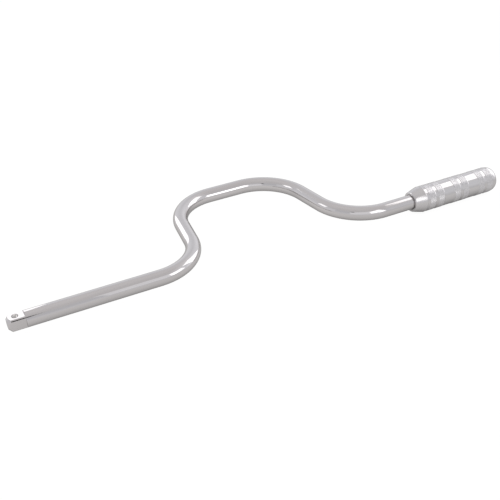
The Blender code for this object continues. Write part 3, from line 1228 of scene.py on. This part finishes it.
@dataclass(frozen=True)
class SoftBox:
    """A rectangular lamp: its middle, what it faces, width and height, level and lean."""

    name: str
    middle: tuple[float, float, float]
    faces: tuple[float, float, float]
    size: tuple[float, float]
    level: float
    lean: float = 0.0

    def light(self, dimmer: float) -> None:
        """Hangs the lamp, its level times the dimmer.

        Args:
            dimmer: what the lamp's level is multiplied by.
        """
        lamp = bpy.data.lights.new(self.name, "AREA")
        lamp.shape = "RECTANGLE"
        lamp.size, lamp.size_y = self.size
        lamp.energy = dimmer * self.level * math.pi * self.size[0] * self.size[1]
        obj = bpy.data.objects.new(self.name, lamp)
        obj.location = self.middle
        aim = Vector(self.faces) - Vector(self.middle)
        lean = Matrix.Rotation(math.radians(self.lean), 3, "Z")
        obj.rotation_euler = (facing(aim) @ lean).to_euler()
        obj.visible_camera = False
        bpy.context.scene.collection.objects.link(obj)


@dataclass
class Studio:
    """A pale room with a white floor, seven soft boxes and one dark card."""

    floor_size: float = 6.0
    shadow_share: float = 0.1
    fill: float = 0.8
    dimmer: float = 0.8
    walls: tuple[tuple[float, Colour], ...] = (
        (0.0, (0.97, 0.98, 1.0)),
        (0.5, (0.955, 0.96, 0.985)),
        (0.63, (0.865, 0.872, 0.9)),
        (0.71, (0.805, 0.813, 0.842)),
        (0.79, (0.812, 0.819, 0.85)),
        (0.86, (0.836, 0.833, 0.845)),
        (0.95, (0.858, 0.842, 0.848)),
        (1.0, (0.915, 0.905, 0.908)),
    )
    back_lift: float = 0.1
    back_glow: float = 0.27
    right_glow: float = 0.3
    end_glow: float = 0.25
    right_shade: float = 0.1
    boxes: tuple[SoftBox, ...] = (
        SoftBox("right_box", (0.62, 0.03, 0.27), (0.3, 0.03, 0.27), (0.27, 0.42), 1.15, 10.0),
        SoftBox(
            "front_box", (0.3185, -0.1745, 0.122), (0.2095, -0.0915, 0.122), (0.137, 0.13), 1.15
        ),
        SoftBox("grip_box", (0.475, -0.45, 0.237), (0.475, 0.0, 0.237), (0.144, 0.234), 1.0),
        SoftBox("back_box", (0.015, 0.45, 0.22), (0.015, 0.0, 0.22), (0.15, 0.4), 1.15),
        SoftBox("left_box", (-0.015, 0.137, 0.2), (0.26, 0.05, 0.0), (0.11, 0.11), 1.15),
        SoftBox("left_strip", (-0.13, 0.02, 0.19), (0.27, 0.02, 0.19), (0.2, 0.22), 0.15),
        SoftBox("front_strip", (0.2325, -0.165, 0.105), (0.2325, 0.0, 0.105), (0.255, 0.14), 0.3),
    )

    FLOOR_X = 0.2
    PAPER = (0.88, 0.865, 0.855, 1)
    FLOOR_GLOW = 1.06
    # The floor in reflections: its tint, its level in front on the left, and how much lighter it
    # is behind and darker to the right, as ((from, to), change)
    FLOOR_TINT = (1, 0.992, 0.987, 1)
    FLOOR_LEVEL = 0.93
    FLOOR_BACK = ((-0.03, 0.06), 0.12)
    FLOOR_RIGHT = ((0.2, 0.35), 0.06)
    # Its contact shade: reach in metres, samples, darkest value and the range above it
    CONTACT_REACH = 0.08
    CONTACT_SAMPLES = 8
    CONTACT_DARK = 0.22
    CONTACT_RANGE = 0.77
    # Where the walls' light changes, as (from, to) of a direction's x, y or z, and its two tints
    BESIDE_X = (0.35, 0.8)
    BESIDE_FOOT = (0.0, 0.35)
    BESIDE_TOP = (0.75, 0.95)
    END_X = (0.85, 0.97)
    SHADE_NEAR = (0.35, 0.55)
    SHADE_FAR = (0.75, 0.9)
    SHADE_TOP = (0.1, 0.4)
    SHADE_BACK = (-0.1, 0.2)
    LIFT_Y = (-0.2, 0.5)
    GLOW_Y = (0.3, 0.95)
    GLOW_TOP = (0.3, 0.85)
    GLOW_TINT = (0.97, 1.0, 1.04, 1)
    FILL_TINT = (1, 0.99, 0.98, 1)
    # The dark card
    CARD_MIDDLE = (0.038, -0.274, 0.296)
    CARD_FACES = (0.015, 0, 0)
    CARD_RADIUS = 0.034
    CARD_SIDES = 32
    CARD_GREY = (0.05, 0.05, 0.05, 1)

    def _floor(self) -> None:
        """Lays the floor just under the grip, white to the camera but for the object's shadow."""
        shape = bmesh.new()
        bmesh.ops.create_grid(shape, x_segments=1, y_segments=1, size=self.floor_size / 2)
        floor = in_scene("floor", shape)
        floor.location = (self.FLOOR_X, 0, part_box("grip_sleeve")[0].z)
        floor.data.materials.append(self._floor_paper())

    def _floor_paper(self) -> bpy.types.Material:
        """The floor's material: glowing to the camera, paler or darker by place in reflections.

        Returns:
            The material.
        """
        material = bpy.data.materials.new("floor_paper")
        recipe = Recipe(material)
        path = recipe.node("LightPath")
        paper = recipe.node("BsdfDiffuse", {}, {"Color": self.PAPER})
        white = recipe.node("Emission", {}, {"Color": WHITE, "Strength": self.FLOOR_GLOW})
        seen = recipe.sum(path, "Is Camera Ray") * (1 - self.shadow_share)
        shown = recipe.node("MixShader", {}, {0: seen, 1: paper.outputs[0], 2: white.outputs[0]})
        samples = {"samples": self.CONTACT_SAMPLES}
        near = recipe.node("AmbientOcclusion", samples, {"Distance": self.CONTACT_REACH})
        shade = self.CONTACT_DARK + recipe.sum(near, "AO") * self.CONTACT_RANGE
        right, back, _ = recipe.axes(recipe.node("TexCoord").outputs["Object"])
        further = recipe.smooth(back, *self.FLOOR_BACK[0]) * self.FLOOR_BACK[1]
        beyond = recipe.smooth(right, *self.FLOOR_RIGHT[0]) * self.FLOOR_RIGHT[1]
        strength = shade * (self.FLOOR_LEVEL + further - beyond) * self.dimmer
        reflected = recipe.node("Emission", {}, {"Color": self.FLOOR_TINT, "Strength": strength})
        inputs = {0: recipe.mirrored(path), 1: shown.outputs[0], 2: reflected.outputs[0]}
        mix = recipe.node("MixShader", {}, inputs)
        recipe.node("OutputMaterial", {}, {"Surface": mix.outputs[0]})
        return material

    def _world(self) -> None:
        """Paints the room: white to the camera, pale grey to metal, and dimmer as a lamp."""
        world = bpy.data.worlds.new("room")
        bpy.context.scene.world = world
        recipe = Recipe(world)
        path = recipe.node("LightPath")
        right, back, up = recipe.axes(recipe.node("TexCoord").outputs["Generated"])
        walls = recipe.node("ValToRGB", {"stops": self.walls}, {0: up * 0.5 + 0.5})
        beside = recipe.smooth(right, *self.BESIDE_X) * recipe.smooth(up, *self.BESIDE_FOOT)
        beside = beside * recipe.fade(up, *self.BESIDE_TOP) * self.right_glow
        beyond = recipe.smooth(right, *self.END_X) * self.end_glow
        low = recipe.smooth(right, *self.SHADE_NEAR) * recipe.fade(right, *self.SHADE_FAR)
        low = low * recipe.fade(up, *self.SHADE_TOP) * recipe.fade(back, *self.SHADE_BACK)
        low = low * self.right_shade
        lift = recipe.smooth(back, *self.LIFT_Y) * self.back_lift
        strength = (1 + lift + beside + beyond - low) * self.dimmer
        behind = recipe.smooth(back, *self.GLOW_Y) * recipe.fade(up, *self.GLOW_TOP)
        glow = behind * self.back_glow * self.dimmer

        def light(colour: Any, level: Any) -> bpy.types.NodeSocket:
            """Adds a Background node."""
            return recipe.node("Background", {}, {"Color": colour, "Strength": level}).outputs[0]

        sides = {0: light(walls.outputs[0], strength), 1: light(self.GLOW_TINT, glow)}
        room = recipe.node("AddShader", {}, sides).outputs[0]
        fill = light(self.FILL_TINT, self.fill)
        lit = recipe.node("MixShader", {}, {0: recipe.mirrored(path), 1: fill, 2: room})
        camera = path.outputs["Is Camera Ray"]
        mix = recipe.node("MixShader", {}, {0: camera, 1: lit.outputs[0], 2: light(WHITE, 1.0)})
        recipe.node("OutputWorld", {}, {"Surface": mix.outputs[0]})

    def _dark_card(self) -> None:
        """Hangs the dark card whose reflection draws the line along the square's corner."""
        middle = Vector(self.CARD_MIDDLE)
        turn = facing(Vector(self.CARD_FACES) - middle)
        place = Matrix.Translation(middle) @ turn.to_4x4()
        shape = bmesh.new()
        bmesh.ops.create_circle(
            shape, cap_ends=True, segments=self.CARD_SIDES, radius=self.CARD_RADIUS, matrix=place
        )
        card = in_scene("dark_card", shape)
        card.visible_camera = card.visible_diffuse = card.visible_shadow = False
        material = bpy.data.materials.new("dark_card")
        recipe = Recipe(material)
        black = recipe.node("BsdfDiffuse", {}, {"Color": self.CARD_GREY})
        recipe.node("OutputMaterial", {}, {"Surface": black.outputs[0]})
        card.data.materials.append(material)

    def build(self) -> None:
        """Sets up floor, room, lamps and card."""
        self._floor()
        self._world()
        self._dark_card()
        for box in self.boxes:
            box.light(self.dimmer)
        LOG.info("studio: %d soft boxes", len(self.boxes))


@dataclass(frozen=True)
class PhotoCamera:
    """The photograph's view: what it is aimed at, from where, and through which lens."""

    aim: tuple[float, float, float] = (0.18194, 0.00083, 0.0)
    azimuth: float = math.radians(-27.566)
    elevation: float = math.radians(32.509)
    roll: float = math.radians(-1.1785)
    distance: float = 0.59028
    lens_mm: float = 56.712

    def build(self) -> None:
        """Places the camera."""
        data = bpy.data.cameras.new("photo")
        data.lens = self.lens_mm
        camera = bpy.data.objects.new("photo", data)
        flat, rise = math.cos(self.elevation), math.sin(self.elevation)
        back = Vector((math.sin(self.azimuth) * flat, -math.cos(self.azimuth) * flat, rise))
        turn = facing(-back) @ Matrix.Rotation(self.roll, 3, "Z")
        place = Matrix.Translation(Vector(self.aim) + back * self.distance)
        camera.matrix_world = place @ turn.to_4x4()
        bpy.context.scene.collection.objects.link(camera)
        bpy.context.scene.camera = camera


def main() -> None:
    """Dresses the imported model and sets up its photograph."""
    logging.basicConfig(level=logging.INFO, format="%(name)s %(message)s")
    fresh_scene()
    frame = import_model()
    CrankBar().build()
    BallCatch().build()
    Grip().build()
    Running().dress(frame["nodes"])
    PhotoCamera().build()
    Studio().build()
    bpy.context.scene.view_settings.view_transform = "Standard"


if __name__ == "__main__":
    main()
